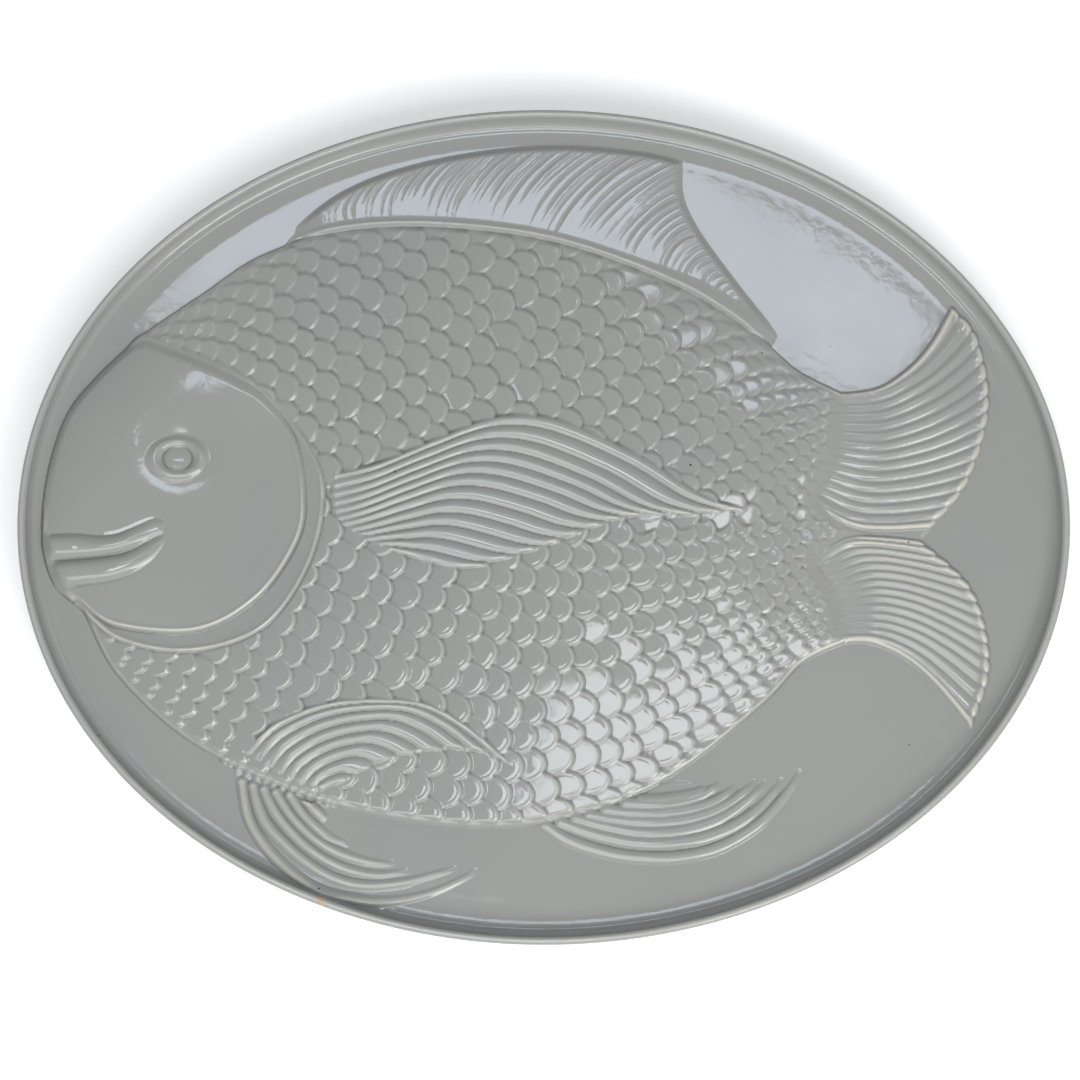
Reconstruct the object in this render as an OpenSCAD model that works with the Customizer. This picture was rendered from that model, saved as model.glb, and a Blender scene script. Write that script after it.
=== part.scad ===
// Oval serving platter with a fish in low relief on its floor and a foot ring below.
// The tail points along +X, the fish's back along +Y, and the table is at Z = 0.

/* [Platter] */
// Length of the oval over the lip
platter_l = 420; // [380:5:460]
// Width of the oval over the lip
platter_w = 336; // [310:2:360]
// Height of the lip above the table
platter_h = 20; // [19:0.5:26]
// Thickness of the clay floor
floor_t = 6; // [5:0.5:7]
// Distance from the outer edge to the flat floor
rim_run = 8; // [7:0.5:12]
// Thickness of the rounded lip
lip_t = 3.2; // [2.8:0.2:4.4]
// Distance over which the outside curves in under the rim
flare_run = 18; // [16:1:24]

/* [Foot ring] */
// Height of the foot ring
foot_h = 5; // [4.5:0.5:7]
// Width of the foot ring
foot_w = 8; // [6:1:12]
// Distance from the outer edge of the oval to the foot ring
foot_inset = 56; // [48:1:66]

/* [Body and head] */
// Clearance between the snout and the edge of the floor
snout_clear = 2.4; // [1:0.2:4]
// Clearance between the top of the dorsal fin and the edge of the floor
fin_clear = 6; // [5:0.5:10]
// Height of the step round the fish
step_h = 1.2; // [1:0.1:1.6]
// Swell of the body above that step
swell_h = 4; // [3:0.2:4.6]
// Height of the head plate above the flank
head_rise = 1; // [0.6:0.1:1.4]
// Height of the gill cover above the flank
gill_rise = 0.5; // [0.3:0.1:0.8]
// Height of a scale's raised edge
scale_h = 0.5; // [0.3:0.1:0.8]
// Number of scales from the gill cover to the tail
scale_columns = 16; // [12:1:20]
// Number of scales from the belly to the back
scale_rows = 16; // [12:1:20]

/* [Fins] */
// Thickness of a fin that lies on the floor
fin_t = 1.6; // [1.2:0.1:2.2]
// Height of a fin on the flank above the scales
flank_fin_h = 0.8; // [0.5:0.1:1.2]
// Height of a ray above its fin
ray_h = 0.7; // [0.4:0.1:1]
// Number of rays in the dorsal fin
dorsal_rays = 34; // [24:1:40]
// Number of rays in the pectoral fin
pectoral_rays = 11; // [8:1:14]
// Number of rays in each pelvic fin
pelvic_rays = 7; // [5:1:10]
// Number of rays in the anal fin
anal_rays = 8; // [6:1:10]
// Number of rays in each tail lobe
tail_rays = 14; // [10:1:16]

/* [Eye and mouth] */
// Diameter of the eye
eye_d = 12; // [10:0.5:13]
// Height of the eye's crown above the head
eye_h = 1.2; // [0.8:0.1:1.6]
// Length of the lid round the eye
lid_l = 23; // [20:0.5:26]
// Width of the lid round the eye
lid_w = 17; // [16:0.5:20]
// Height of the lid above the head
lid_h = 1; // [0.6:0.1:1.4]
// Height of the fish's lips above the head
mouth_h = 1.2; // [0.8:0.1:1.6]

/* [Hidden] */

// Points round the platter's oval and round the eye
oval_n = 96;
eye_n = 36;
// Steps along the arcs of the wall's section, the lip's, the eye's crown and the lid's
wall_steps = 5;
lip_steps = 4;
crown_steps = 4;
lid_steps = 5;
// Steps along the rays of a short fin and of a long one
short_steps = 4;
long_steps = 10;
// Steps across the gill cover and the fish's lips, and along those lips
gill_steps = 2;
mouth_steps = 4;
mouth_run_steps = 12;
// Points along each edge of the fish that its swell is read from
edge_steps = 60;
// Share of the step's height that is left under a piece bedded in the flank or the head
bed_share = 0.75;
// Rings of the head, as shares of the way from its middle to its edge
head_ring_shares = [0.2, 0.4, 0.6, 0.75, 0.9, 1];

floor_z = foot_h + floor_t;
bed_z = floor_z + bed_share * step_h;
lip_z = platter_h - lip_t / 2;
platter_half = [platter_l / 2, platter_w / 2];
floor_half = platter_half - [rim_run, rim_run];
lid_half = [lid_l / 2, lid_w / 2];
eye_half = [eye_d / 2, eye_d / 2];
arc_steps = 2 * scale_rows;

glaze = [0.81, 0.82, 0.80];
bare_clay = [0.80, 0.72, 0.62];

// The fish is drawn in photograph pixels. This is the middle of the floor there.
photo_mid_px = [542.5, 528.6];

// Edges of the fish from the snout to the nape and the tail root, and to the throat and the tail root
forehead_px = [[44, 540], [48, 480], [66, 420], [95, 382], [124, 354]];
back_px = [
    [140, 338], [200, 297], [260, 258], [340, 234], [440, 230], [560, 246], [680, 290], [760, 341],
    [800, 375], [842, 397]
];
chin_px = [[55, 582], [72, 600]];
belly_px = [
    [86, 611], [120, 672], [190, 735], [280, 780], [380, 809], [500, 821], [600, 803], [680, 765],
    [760, 702], [800, 662], [842, 642]
];
tail_root_px = [[842, 642], [830, 600], [808, 560], [812, 532], [810, 505], [832, 450], [842, 397]];

// The gill cover lies between these two arcs, which run from the throat to the nape
gill_inner_px = [
    [84, 603], [120, 624], [200, 629], [260, 597], [298, 545], [305, 500], [295, 445], [266, 404],
    [240, 387], [200, 368], [145, 347]
];
gill_outer_px = [
    [86, 611], [120, 638], [180, 650], [240, 640], [280, 615], [312, 565], [325, 510], [318, 465],
    [280, 410], [240, 380], [200, 362], [140, 338]
];

// Each fin has a first and a last ray, a root line that its rays start on and a tip line that they end on
dorsal_first_px = [[776, 346], [778, 343], [780, 340]];
dorsal_last_px = [[288, 242], [291, 237], [294, 230]];
dorsal_root_px = [
    [776, 346], [760, 334], [720, 306], [680, 285], [600, 252], [500, 231], [400, 224], [340, 229], [288, 242]
];
dorsal_tip_px = [
    [780, 340], [740, 290], [700, 235], [684, 200], [683, 165], [640, 155], [560, 149], [480, 155],
    [400, 172], [340, 196], [294, 230]
];

pectoral_first_px = [[455, 572], [465, 572], [478, 570]];
pectoral_last_px = [
    [334, 478], [380, 467], [440, 442], [500, 421], [560, 425], [640, 460], [700, 498], [745, 513]
];
pectoral_root_px = [[455, 572], [400, 558], [345, 526], [334, 505], [334, 478]];
pectoral_tip_px = [[478, 570], [550, 547], [620, 522], [690, 518], [745, 513]];

near_first_px = [[326, 786], [331, 784], [338, 781]];
near_last_px = [[247, 748], [280, 719], [340, 699], [420, 700], [470, 724], [513, 761]];
near_root_px = [[326, 786], [290, 774], [247, 748]];
near_tip_px = [[338, 781], [385, 757], [440, 746], [480, 748], [513, 761]];

far_first_px = [[243, 776], [249, 807], [273, 844], [322, 877], [395, 890], [450, 878], [492, 854]];
far_last_px = [[314, 799], [320, 802], [326, 806]];
far_root_px = [[243, 776], [280, 789], [314, 799]];
far_tip_px = [[492, 854], [420, 860], [370, 843], [326, 806]];

anal_first_px = [[546, 825], [580, 840], [640, 853], [700, 849], [760, 820], [806, 757]];
anal_last_px = [[650, 790], [658, 790], [668, 789]];
anal_root_px = [[546, 825], [600, 810], [650, 790]];
anal_tip_px = [[806, 757], [760, 777], [720, 781], [668, 789]];

upper_first_px = [[814, 508], [845, 528], [880, 533], [930, 531]];
upper_last_px = [[846, 396], [880, 390], [910, 370], [932, 345], [953, 309]];
upper_root_px = [[814, 508], [836, 452], [846, 396]];
upper_tip_px = [[930, 531], [965, 490], [986, 435], [990, 390], [978, 338], [953, 309]];

lower_first_px = [[846, 643], [870, 644], [900, 657], [930, 682], [967, 727]];
lower_last_px = [[812, 560], [840, 539], [880, 538], [920, 542]];
lower_root_px = [[846, 643], [834, 600], [812, 560]];
lower_tip_px = [[967, 727], [986, 675], [983, 625], [965, 582], [920, 542]];

// Lower and upper edges of the fish's lips, from the snout to the corner of the mouth
upper_lip_low_px = [[54, 558], [110, 555], [140, 545], [162, 530]];
upper_lip_high_px = [[55, 540], [100, 541], [130, 535], [157, 524]];
lower_lip_low_px = [[64, 584], [110, 581], [140, 571], [162, 553]];
lower_lip_high_px = [[60, 566], [110, 561], [136, 553], [158, 543]];
// Middles of the head and of the eye
head_px = [175, 490];
eye_px = [179, 458];

// Reach from the middle of the floor to the snout and to the top of the dorsal fin, drawn and built
drawn_reach = [
    photo_mid_px.x - min([for (p = forehead_px) p.x]),
    photo_mid_px.y - min([for (p = dorsal_tip_px) p.y])
];
built_reach = floor_half - [snout_clear, fin_clear];

// Place on the floor of a pixel
function place(px) = [
    (px.x - photo_mid_px.x) / drawn_reach.x * built_reach.x,
    (photo_mid_px.y - px.y) / drawn_reach.y * built_reach.y
];

function reversed(list) = [for (i = [len(list) - 1:-1:0]) list[i]];

function straight(a, b, steps) = [for (i = [0:steps]) a + (b - a) * i / steps];

// Point of the smooth curve through points, at a whole or broken index along them
function curve_at(points, index) =
    let (last = len(points) - 1)
    let (i = min(floor(index), last - 1), t = index - i)
    let (p1 = points[i], p2 = points[i + 1])
    let (p0 = points[max(i - 1, 0)], p3 = points[min(i + 2, last)])
    p1 + t / 2 * (p2 - p0 + t * (2 * p0 - 5 * p1 + 4 * p2 - p3 + t * (3 * (p1 - p2) + p3 - p0)));

// Length run along the straight lines between points, with the index of each point
function runs(points) =
    let (steps = concat([for (i = [1:len(points) - 1]) norm(points[i] - points[i - 1])], [0]))
    [for (i = 0, run = 0; i < len(points); run = run + steps[i], i = i + 1) [run, i]];

// Evenly spread places along the smooth curve through a list of pixels
function curve(px, steps) =
    let (points = [for (p = px) place(p)])
    let (table = runs(points), total = table[len(table) - 1][0])
    [for (i = [0:steps]) curve_at(points, lookup(total * i / steps, table))];

// Grid of places that fills four curves: two rays, and the root and tip lines that join their ends
function patch(first, last, root, tip) =
    let (ns = len(first) - 1, nk = len(root) - 1)
    [for (i = [0:ns]) let (s = i / ns) [
        for (k = [0:nk]) let (t = k / nk)
            (1 - t) * first[i] + t * last[i] + (1 - s) * root[k] + s * tip[k]
            - (1 - t) * ((1 - s) * first[0] + s * first[ns])
            - t * ((1 - s) * last[0] + s * last[ns])
    ]];

// Grid between two curves whose ends are joined by straight lines
function band(first, last, steps) =
    let (end = len(first) - 1)
    patch(first, last, straight(first[0], last[0], steps), straight(first[end], last[end], steps));

// Grid of a fin, with two steps across each ray
function fin(first_px, last_px, root_px, tip_px, steps, rays) =
    patch(
        curve(first_px, steps), curve(last_px, steps), curve(root_px, 2 * rays), curve(tip_px, 2 * rays)
    );

// Index pairs round the edge of a grid, counterclockwise from above
function rim_of(grid) =
    let (ns = len(grid) - 1, nk = len(grid[0]) - 1)
    concat(
        [for (i = [0:ns]) [i, 0]],
        [for (k = [1:nk]) [ns, k]],
        [for (i = [ns - 1:-1:0]) [i, nk]],
        [for (k = [nk - 1:-1:1]) [0, k]]
    );

function outline(grid) = [for (r = rim_of(grid)) grid[r[0]][r[1]]];

// Oval of n points, drawn in by an inset measured square to its edge
function oval(half, inset, n) =
    [for (i = [0:n - 1]) let (a = 360 * i / n, out = [cos(a) / half.x, sin(a) / half.y])
        [half.x * cos(a), half.y * sin(a)] - inset * out / norm(out)];

function ring(points, z) = [for (p = points) [p.x, p.y, z]];

// Upper and lower edges of the fish from the snout to the tail root, and its greatest half height
upper_edge = curve(concat(forehead_px, back_px), edge_steps);
lower_edge = curve(concat(chin_px, belly_px), edge_steps);
half_max = max([for (p = upper_edge) p.y - lookup(p.x, lower_edge)]) / 2;

// Height of the fish's plain surface above the table
function swell_z(p) =
    let (high = lookup(p.x, upper_edge), low = lookup(p.x, lower_edge))
    let (half = (high - low) / 2, off = (p.y - (high + low) / 2) / half)
    floor_z + step_h + swell_h * sqrt(half / half_max) * max(0, 1 - off * off);

// Tops of a grid that follows the fish's plain surface at a height above it
function over_fish(grid, rise) = [for (row = grid) [for (p = row) swell_z(p) + rise]];

// Tops of a grid's rays, which stand out at every other step above the tops given
function rayed(tops) = [for (row = tops) [for (k = [0:len(row) - 1]) row[k] + k % 2 * ray_h]];

// Tops of a fin that lies on the floor
function over_floor(grid) = rayed([for (row = grid) [for (p = row) floor_z + fin_t]]);

gill_inner = curve(gill_inner_px, arc_steps);
gill_outer = curve(gill_outer_px, arc_steps);
face = curve(concat(reversed(chin_px), forehead_px), arc_steps);

body_grid = patch(
    curve(belly_px, 2 * scale_columns), curve(back_px, 2 * scale_columns),
    gill_outer, curve(tail_root_px, arc_steps)
);
gill_grid = band(gill_outer, gill_inner, gill_steps);
upper_lip_grid = band(
    curve(upper_lip_low_px, mouth_run_steps), curve(upper_lip_high_px, mouth_run_steps), mouth_steps
);
lower_lip_grid = band(
    curve(lower_lip_low_px, mouth_run_steps), curve(lower_lip_high_px, mouth_run_steps), mouth_steps
);
dorsal_grid = fin(
    dorsal_first_px, dorsal_last_px, dorsal_root_px, dorsal_tip_px, short_steps, dorsal_rays
);
pectoral_grid = fin(
    pectoral_first_px, pectoral_last_px, pectoral_root_px, pectoral_tip_px, long_steps, pectoral_rays
);
near_grid = fin(near_first_px, near_last_px, near_root_px, near_tip_px, long_steps, pelvic_rays);
far_grid = fin(far_first_px, far_last_px, far_root_px, far_tip_px, long_steps, pelvic_rays);
anal_grid = fin(anal_first_px, anal_last_px, anal_root_px, anal_tip_px, long_steps, anal_rays);
upper_lobe_grid = fin(upper_first_px, upper_last_px, upper_root_px, upper_tip_px, long_steps, tail_rays);
lower_lobe_grid = fin(lower_first_px, lower_last_px, lower_root_px, lower_tip_px, long_steps, tail_rays);

eye_place = place(eye_px);
eye_z = swell_z(eye_place) + head_rise;

// Solid skinned over equal rings, inner to outer on top. A closed one joins its last ring to its first, and
// an open one has a flat face below and a crown point or another flat face on top.
module skin(rings, closed = false, crown = undef) {
    n = len(rings[0]);
    last = len(rings) - 1;
    strips = [for (r = [0:closed ? last : last - 1]) [r * n, (r + 1) % (last + 1) * n]];
    sides = [for (s = strips, i = [0:n - 1]) let (j = (i + 1) % n)
        each [[s[0] + i, s[0] + j, s[1] + j], [s[0] + i, s[1] + j, s[1] + i]]];
    fan = [for (i = [0:n - 1]) [len(rings) * n, (i + 1) % n, i]];
    top = is_undef(crown) ? [[for (i = [n - 1:-1:0]) i]] : fan;
    ends = closed ? [] : concat(top, [[for (i = [0:n - 1]) last * n + i]]);
    polyhedron(concat([for (r = rings) each r], is_undef(crown) ? [] : [crown]), concat(sides, ends));
}

// Solid over a grid of places, with a top for each of them and a flat face below
module tile(grid, base_z, tops) {
    ns = len(grid) - 1;
    nk = len(grid[0]) - 1;
    rim = [for (r = rim_of(grid)) r[0] * (nk + 1) + r[1]];
    m = len(rim);
    count = (ns + 1) * (nk + 1);
    points = concat(
        [for (i = [0:ns], k = [0:nk]) [grid[i][k].x, grid[i][k].y, tops[i][k]]],
        [for (row = grid, p = row) [p.x, p.y, base_z]]
    );
    cells = [for (i = [0:ns - 1], k = [0:nk - 1]) let (a = i * (nk + 1) + k, b = a + nk + 1)
        each [[a, a + 1, b + 1], [a, b + 1, b]]];
    under = [for (c = cells) [count + c[0], count + c[2], count + c[1]]];
    walls = [for (j = [0:m - 1]) let (t = rim[j], u = rim[(j + 1) % m]) [t, u, count + u, count + t]];
    polyhedron(points, concat(cells, walls, under));
}

// Space of a piece bedded in the flank or the head, from its bed up past the lip
module bed(points) {
    translate([0, 0, bed_z]) linear_extrude(platter_h) polygon(points);
}

// Inset from the outer edge and height of the underside's curve, from 0 at the lip to 90 at the foot
function under(a) = [flare_run * (1 - cos(a)), foot_h + (lip_z - foot_h) * (1 - sin(a))];

// Place on that curve where the floor slab meets the rim
meet_a = acos(1 - rim_run / flare_run);

module floor_slab() {
    curved = [for (j = [0:wall_steps]) under(meet_a + (90 - meet_a) * j / wall_steps)];
    section = concat([[rim_run, floor_z]], curved);
    color(glaze) skin([for (p = section) ring(oval(platter_half, p[0], oval_n), p[1])]);
}

module rim() {
    wall = [for (j = [0:wall_steps]) let (a = 90 * j / wall_steps)
        [rim_run - (rim_run - lip_t) * sin(a), floor_z + (lip_z - floor_z) * (1 - cos(a))]];
    lip = [for (j = [1:lip_steps]) let (a = 180 * j / lip_steps)
        [lip_t / 2 * (1 + cos(a)), lip_z + lip_t / 2 * sin(a)]];
    outside = [for (j = [1:wall_steps]) under(meet_a * j / wall_steps)];
    section = concat(wall, lip, outside);
    color(glaze) skin([for (p = section) ring(oval(platter_half, p[0], oval_n), p[1])], closed = true);
}

module foot_ring() {
    color(bare_clay) linear_extrude(foot_h) difference() {
        polygon(oval(platter_half, foot_inset, oval_n));
        polygon(oval(platter_half, foot_inset + foot_w, oval_n));
    }
}

module fish_body() {
    plain = over_fish(body_grid, 0);
    scaled = [for (i = [0:len(plain) - 1]) [
        for (k = [0:len(plain[0]) - 1]) plain[i][k] + (i + k) % 2 * scale_h
    ]];
    color(glaze) difference() {
        tile(body_grid, floor_z, scaled);
        bed(outline(pectoral_grid));
        bed(outline(near_grid));
    }
}

module head() {
    middle = place(head_px);
    edge = concat(gill_inner, reversed(face));
    top = [for (share = head_ring_shares) [
        for (p = edge) let (q = middle + share * (p - middle)) [q.x, q.y, swell_z(q) + head_rise]
    ]];
    color(glaze) difference() {
        skin(concat(top, [ring(edge, floor_z)]), crown = [middle.x, middle.y, swell_z(middle) + head_rise]);
        bed(outline(upper_lip_grid));
        bed(outline(lower_lip_grid));
        translate(eye_place) bed(oval(lid_half, 0, eye_n));
    }
}

module gill_cover() {
    color(glaze) tile(gill_grid, floor_z, over_fish(gill_grid, gill_rise));
}

module eye_ring() {
    top = [for (j = [0:lid_steps]) let (t = j / lid_steps)
        ring(oval(eye_half + t * (lid_half - eye_half), 0, eye_n), eye_z + lid_h * sin(45 + 135 * t))];
    under = [for (half = [lid_half, eye_half]) ring(oval(half, 0, eye_n), bed_z)];
    color(glaze) translate(eye_place) skin(concat(top, under), closed = true);
}

module eye() {
    dome = [for (j = [1:crown_steps]) let (a = 90 * j / crown_steps)
        ring(oval(eye_half * sin(a), 0, eye_n), eye_z + eye_h * cos(a))];
    base = ring(oval(eye_half, 0, eye_n), bed_z);
    color(glaze) translate(eye_place) skin(concat(dome, [base]), crown = [0, 0, eye_z + eye_h]);
}

// One of the fish's lips, rounded across
module mouth_lip(grid) {
    plain = over_fish(grid, head_rise);
    color(glaze) tile(grid, bed_z, [for (row = plain) [
        for (k = [0:mouth_steps]) row[k] + mouth_h * sin(180 * k / mouth_steps)
    ]]);
}

module upper_lip() {
    mouth_lip(upper_lip_grid);
}

module lower_lip() {
    mouth_lip(lower_lip_grid);
}

// A fin that lies on the floor beside the fish
module floor_fin(grid) {
    color(glaze) tile(grid, floor_z, over_floor(grid));
}

// A fin that is bedded in the flank
module flank_fin(grid) {
    color(glaze) tile(grid, bed_z, rayed(over_fish(grid, flank_fin_h)));
}

module dorsal_fin() {
    floor_fin(dorsal_grid);
}

module pectoral_fin() {
    flank_fin(pectoral_grid);
}

module pelvic_fin_near() {
    flank_fin(near_grid);
}

module pelvic_fin_far() {
    floor_fin(far_grid);
}

module anal_fin() {
    floor_fin(anal_grid);
}

module tail_upper_lobe() {
    floor_fin(upper_lobe_grid);
}

module tail_lower_lobe() {
    floor_fin(lower_lobe_grid);
}

floor_slab();
rim();
foot_ring();
fish_body();
head();
gill_cover();
eye_ring();
eye();
upper_lip();
lower_lip();
dorsal_fin();
pectoral_fin();
pelvic_fin_near();
pelvic_fin_far();
anal_fin();
tail_upper_lobe();
tail_lower_lobe();
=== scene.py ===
"""Looks of an oval glazed platter with a fish in low relief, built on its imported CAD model."""
import math

import bpy
import numpy as np
from mathutils import Matrix, Vector
from mathutils.geometry import delaunay_2d_cdt


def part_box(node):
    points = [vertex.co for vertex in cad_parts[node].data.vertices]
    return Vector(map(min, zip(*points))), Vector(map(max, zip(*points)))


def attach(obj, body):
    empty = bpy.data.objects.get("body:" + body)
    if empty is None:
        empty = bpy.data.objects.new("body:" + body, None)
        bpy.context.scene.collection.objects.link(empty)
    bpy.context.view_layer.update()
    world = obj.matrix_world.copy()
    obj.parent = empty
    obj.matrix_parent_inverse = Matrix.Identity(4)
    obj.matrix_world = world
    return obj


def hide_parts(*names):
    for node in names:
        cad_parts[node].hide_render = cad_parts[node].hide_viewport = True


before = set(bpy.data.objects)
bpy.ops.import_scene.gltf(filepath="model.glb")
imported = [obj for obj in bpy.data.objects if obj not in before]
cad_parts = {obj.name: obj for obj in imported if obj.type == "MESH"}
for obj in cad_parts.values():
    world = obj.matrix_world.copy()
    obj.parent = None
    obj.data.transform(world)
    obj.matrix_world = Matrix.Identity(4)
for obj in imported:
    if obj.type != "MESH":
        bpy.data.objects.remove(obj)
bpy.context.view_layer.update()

MM = 0.001


def corner(node, side):
    """Lowest (0) or highest (1) corner of a CAD node, in mm."""
    return np.array(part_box(node)[side]) / MM


# Sizes of the CAD model, in mm
PLATTER_HALF = corner("rim", 1)[:2]
FLOOR_HALF = corner("floor_slab", 1)[:2]
RIM_RUN = PLATTER_HALF[0] - FLOOR_HALF[0]
LIP_TOP = corner("rim", 1)[2]
FLOOR_Z = corner("floor_slab", 1)[2]
UNDER_Z = corner("floor_slab", 0)[2]
FOOT_HALF = corner("foot_ring", 1)[:2]
FOOT_W = 8.0
LIP_T = 3.2
FLARE_RUN = 18.0
# Heights of the relief, in mm: the fish's edge, its swell, the head plate, the fins and the lips
STEP_H = 1.2
SWELL_H = 4.6
HEAD_RISE = 1.3
FIN_T = 1.5
FLANK_FIN_H = 0.8
MOUTH_H = 1.9
# How far in from the outline the head goes on rising
CROWN_RUN = 45
# Slight upturn of the floor before the wall
COVE_RUN = 14.0
COVE_H = 0.4
# How late the wall steepens, and the sides of the dish and of the foot
WALL_CURVE = 1.7
DISH_SIDES = 720
FOOT_SIDES = 480

# Cells of the height field that the relief is worked out on, and the glaze's softening of it
CELL = 0.5
GLAZE_SOFTEN = 0.22
# Depth that a relief piece is let into the floor
SUNK = 0.4
SEED = 11
# How far depths are measured, and how far the root of a fin or tail lobe runs on under what it grows from
REACH = 12.0
FIN_UNDER = 7.0
TAIL_UNDER = 6.0
# Thinness of plain glaze, between pooled glaze darkened with painted shade (0) and worn off an edge (1)
PLAIN = 0.5

# The fish is drawn in photograph pixels: the middle of the floor there, the snout and the dorsal fin's top
PHOTO_MID = np.array([543.6, 525.8])
SNOUT_X_PX, FIN_TOP_Y_PX = 44, 149
PHOTO_REACH = PHOTO_MID - [SNOUT_X_PX, FIN_TOP_Y_PX]
# Bare floor before the snout and above that fin, and a growth because the floor is farther away than the lip
SNOUT_CLEAR, FIN_CLEAR = 2.4, 6.0
FISH_GROWTH = 1.006
FISH_REACH = FISH_GROWTH * (FLOOR_HALF - [SNOUT_CLEAR, FIN_CLEAR])

FOREHEAD_PX = [[44, 540], [48, 480], [66, 420], [95, 382], [124, 354]]
BACK_PX = [
    [140, 338], [200, 297], [260, 258], [340, 234], [440, 230], [560, 246], [680, 290], [760, 341],
    [800, 375], [842, 397],
]
CHIN_PX = [[55, 582], [72, 600]]
BELLY_PX = [
    [86, 611], [120, 672], [190, 735], [280, 780], [380, 809], [500, 821], [600, 803], [680, 765],
    [760, 702], [800, 662], [842, 642],
]
TAIL_ROOT_PX = [[842, 642], [838, 600], [832, 560], [831, 532], [830, 505], [836, 450], [842, 397]]
# The scaled flank runs on in a wedge between the lobes of the tail
FLANK_END_PX = [
    [842, 642], [834, 606], [822, 578], [816, 566], [818, 558], [828, 549], [844, 541], [862, 537], [862, 533],
    [844, 525], [828, 515], [819, 508], [817, 500], [822, 486], [834, 450], [842, 397],
]
GILL_INNER_PX = [
    [84, 603], [120, 626], [200, 631], [260, 599], [298, 545], [305, 500], [295, 445], [266, 404],
    [240, 387], [200, 368], [145, 347],
]
GILL_OUTER_PX = [
    [86, 611], [120, 639], [180, 652], [240, 642], [280, 616], [312, 565], [325, 510], [318, 465],
    [280, 410], [240, 380], [200, 362], [140, 338],
]
# Where the scales begin and end
SCALES_START_PX = [[86, 611], [92, 520], [112, 430], [140, 338]]
SCALES_END_PX = [[842, 642], [850, 600], [858, 560], [864, 535], [858, 505], [850, 450], [842, 397]]
# Beads along the belly between the two pelvic fins
BEADS_PX = [[228, 758], [262, 775], [300, 788], [336, 799]]
BEAD_COUNT = 13
# The dip between the tail's lobes, the front of the web there, and where its crease and the tail's tone set in
NOTCH_PX = [850, 535]
WEB_FRONT_PX = [[788, 492], [788, 576]]
CREASE_PX = [[806, 535], [852, 535]]
TAIL_TONE_PX = [[790, 400], [840, 400]]
# Ends of the dorsal fin, corner of the mouth, and where the gill's lines begin and end to fade upwards
DORSAL_ENDS_PX = ([778, 343], [291, 236])
MOUTH_CORNER_PX = [166, 538]
GILL_FADE_PX = [[300, 465], [300, 385]]

# Each fin has a first and a last ray, and between them a line that its rays start on and one that they end on
FINS_PX = {
    "dorsal_fin": (
        [[776, 346], [778, 343], [780, 340]],
        [[288, 242], [291, 237], [294, 230]],
        [[760, 334], [720, 306], [680, 285], [600, 252], [500, 231], [400, 224], [340, 229]],
        [[740, 290], [700, 235], [684, 200], [683, 165], [640, 155], [560, 149], [480, 155], [400, 172],
         [340, 196]],
    ),
    "pectoral_fin": (
        [[385, 551], [420, 563], [455, 571], [478, 570]],
        [[334, 478], [380, 467], [440, 442], [500, 421], [560, 425], [640, 460], [700, 498], [745, 513]],
        [[352, 534], [337, 520], [333, 500]],
        [[550, 547], [620, 522], [690, 518]],
    ),
    "pelvic_fin_near": (
        [[326, 786], [331, 784], [338, 781]],
        [[247, 748], [280, 719], [340, 699], [420, 700], [470, 724], [513, 761]],
        [[290, 774]],
        [[385, 757], [440, 746], [480, 748]],
    ),
    "pelvic_fin_far": (
        [[240, 778], [247, 812], [270, 850], [315, 885], [355, 896], [395, 897], [435, 889], [470, 873],
         [494, 852]],
        [[316, 798], [322, 800], [328, 803]],
        [[280, 789]],
        [[470, 853], [425, 855], [400, 850], [355, 832], [335, 812]],
    ),
    "anal_fin": (
        [[543, 823], [567, 838], [605, 850], [642, 855], [680, 854], [719, 845], [758, 823], [784, 796],
         [803, 768], [808, 754]],
        [[676, 776], [680, 775], [684, 774]],
        [[600, 810], [650, 789]],
        [[786, 763], [765, 769], [737, 774], [705, 772]],
    ),
    "tail_upper_lobe": (
        [[814, 508], [845, 528], [880, 533], [930, 531]],
        [[846, 396], [880, 390], [910, 370], [932, 345], [953, 309]],
        [[836, 452]],
        [[965, 490], [986, 435], [990, 390], [978, 338]],
    ),
    "tail_lower_lobe": (
        [[846, 643], [870, 644], [900, 657], [930, 682], [967, 727]],
        [[812, 560], [840, 539], [880, 538], [920, 542]],
        [[834, 600]],
        [[986, 675], [983, 625], [965, 582]],
    ),
}
# Rays of each fin, height of a ray, and width of the slope at the fin's edge
FIN_RAYS = {
    "dorsal_fin": (58, 0.5, 3.0),
    "pectoral_fin": (12, 1.2, 1.4),
    "pelvic_fin_near": (8, 1.1, 1.4),
    "tail_upper_lobe": (15, 0.85, 1.8),
    "tail_lower_lobe": (15, 0.85, 1.8),
}
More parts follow.
